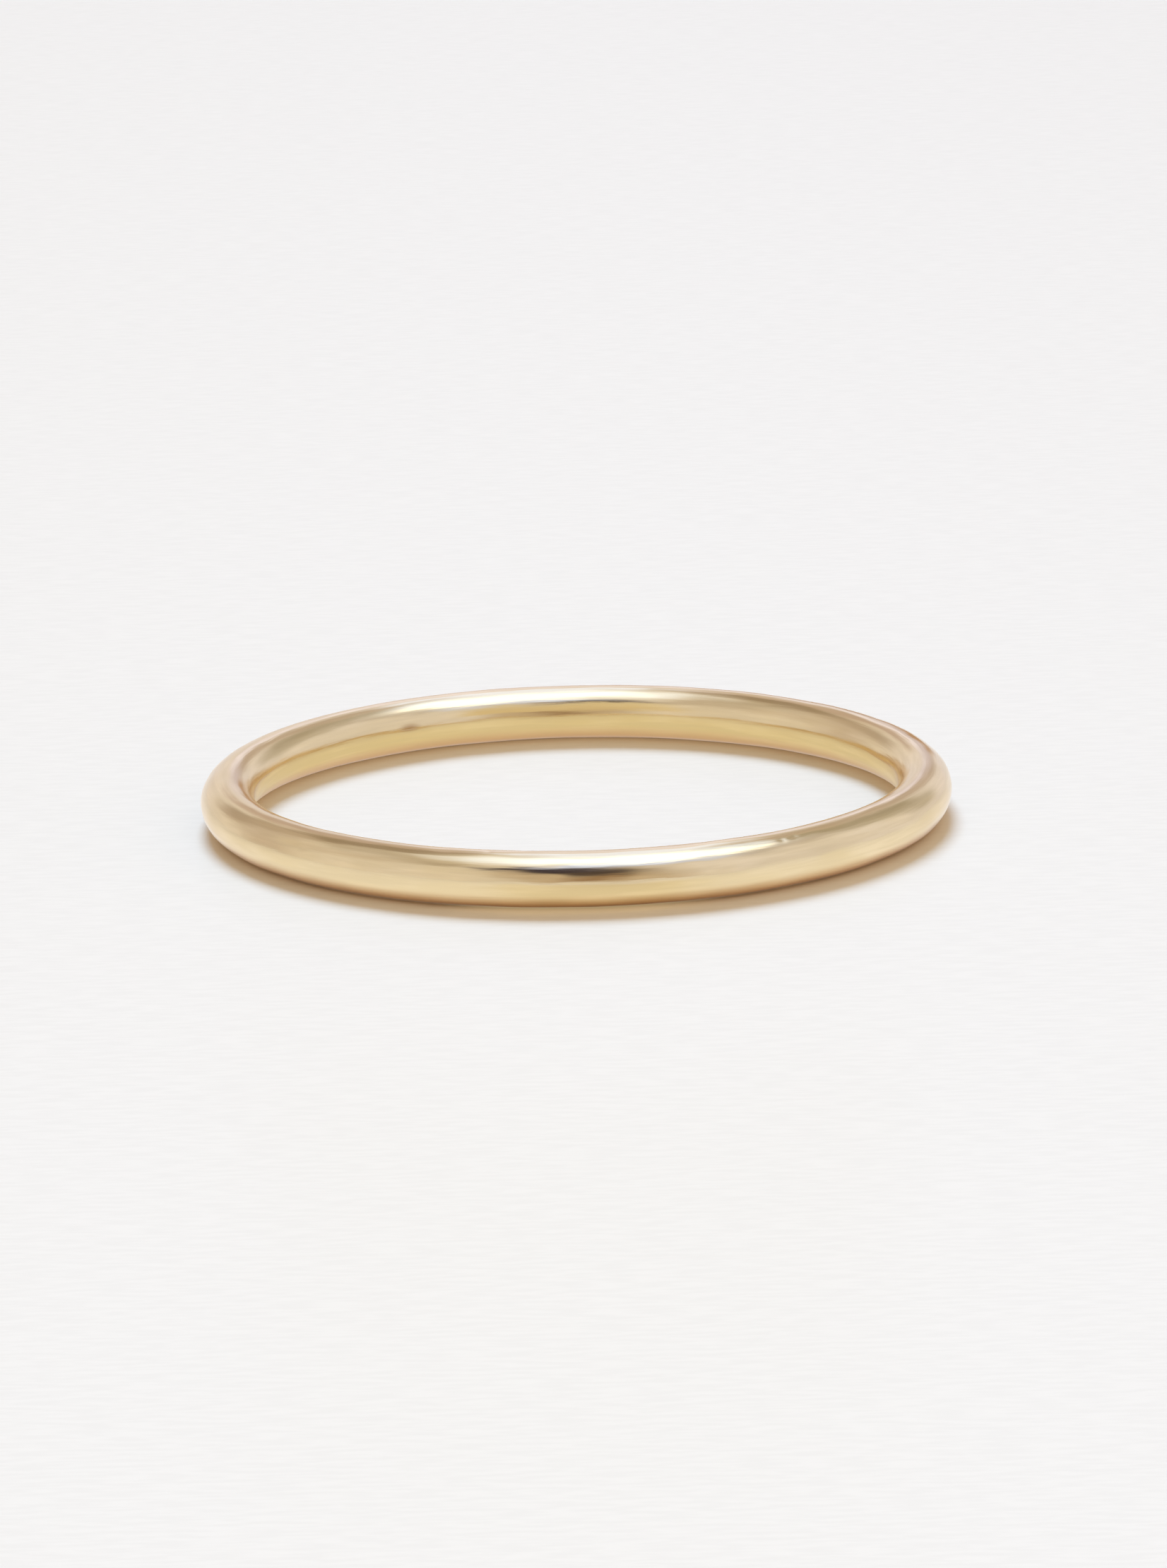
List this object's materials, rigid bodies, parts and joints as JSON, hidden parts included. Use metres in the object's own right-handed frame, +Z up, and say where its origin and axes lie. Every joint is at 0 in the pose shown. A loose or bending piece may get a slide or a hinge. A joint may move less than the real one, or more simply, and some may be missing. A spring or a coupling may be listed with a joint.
{
  "type": "stackable ring",
  "caption": "Plain finger ring of polished pale gold round wire, closed into one smooth hoop, worn alone or stacked with other thin rings.",
  "frame": {"origin": "centre of the hoop, on the surface that the ring lies on", "axes": "+Z up along the axis of the finger hole, +X and +Y in the plane of the hoop"},
  "size_m": [0.0203, 0.0202, 0.0015],
  "materials": {
    "gold": "polished"
  },
  "bodies": {
    "root": {"ring_band": "gold"}
  },
  "joints": []
}
